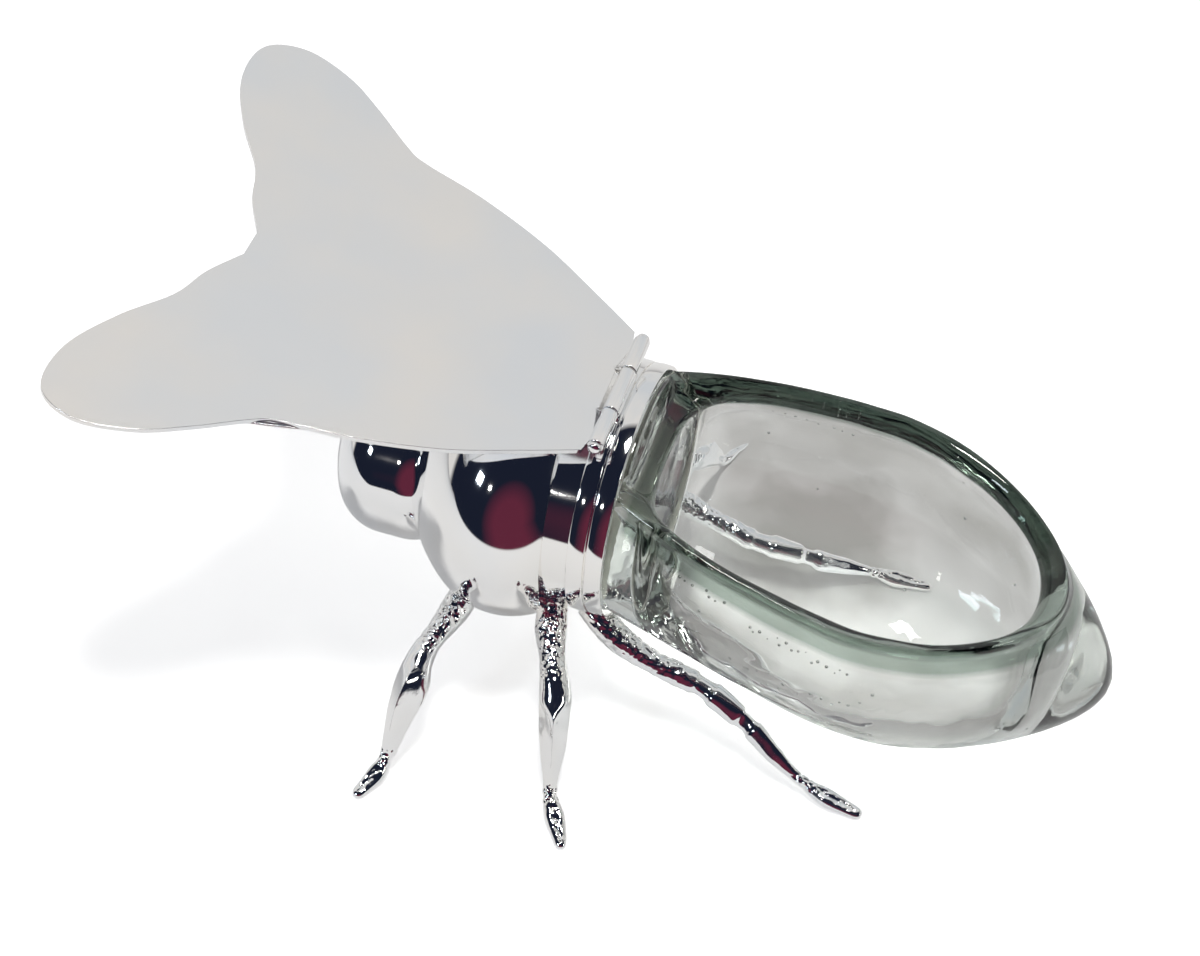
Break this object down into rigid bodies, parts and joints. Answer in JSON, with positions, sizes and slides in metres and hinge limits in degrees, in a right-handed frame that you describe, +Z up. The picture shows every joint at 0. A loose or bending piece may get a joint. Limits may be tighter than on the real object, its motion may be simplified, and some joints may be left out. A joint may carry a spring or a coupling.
{
  "type": "honey pot",
  "caption": "Bee-shaped honey pot: a thick glass abdomen in a silver collar with thorax, head and cast legs, and a pair of wings as its hinged lid.",
  "frame": {"origin": "on the table, under the middle of the whole pot with its lid swung open", "axes": "+X along the bee from its head to its tail, +Y to the bee's right as it looks along -X, +Z up from the table"},
  "size_m": [0.1997, 0.1214, 0.0906],
  "materials": {
    "polished_silver": "mirror-polished silver with fine wear",
    "cast_silver": "cast and polished silver, granular near the roots",
    "pot_glass": "thick clear glass with a grey-green tint",
    "plaster": "off-white bedding plaster"
  },
  "bodies": {
    "pot": {"glass_pot": "pot_glass", "bedding_ring": "plaster", "collar_tube": "polished_silver", "collar_disc": "polished_silver", "front_band": "polished_silver", "rear_band": "polished_silver", "thorax_shell": "polished_silver", "head_shell": "polished_silver", "front_left_leg": "cast_silver", "front_right_leg": "cast_silver", "middle_left_leg": "cast_silver", "middle_right_leg": "cast_silver", "rear_left_leg": "cast_silver", "rear_right_leg": "cast_silver", "hinge_saddle": "polished_silver", "hinge_pin": "polished_silver"},
    "lid": {"wing_plate": "polished_silver", "left_knuckle": "polished_silver", "right_knuckle": "polished_silver"}
  },
  "joints": [
    {"name": "lid_hinge", "type": "hinge", "parent": "pot", "child": "lid", "pos_m": [-0.0055, 0, 0.0715], "axis": [0, 1, 0], "range_deg": [0, 183]}
  ]
}
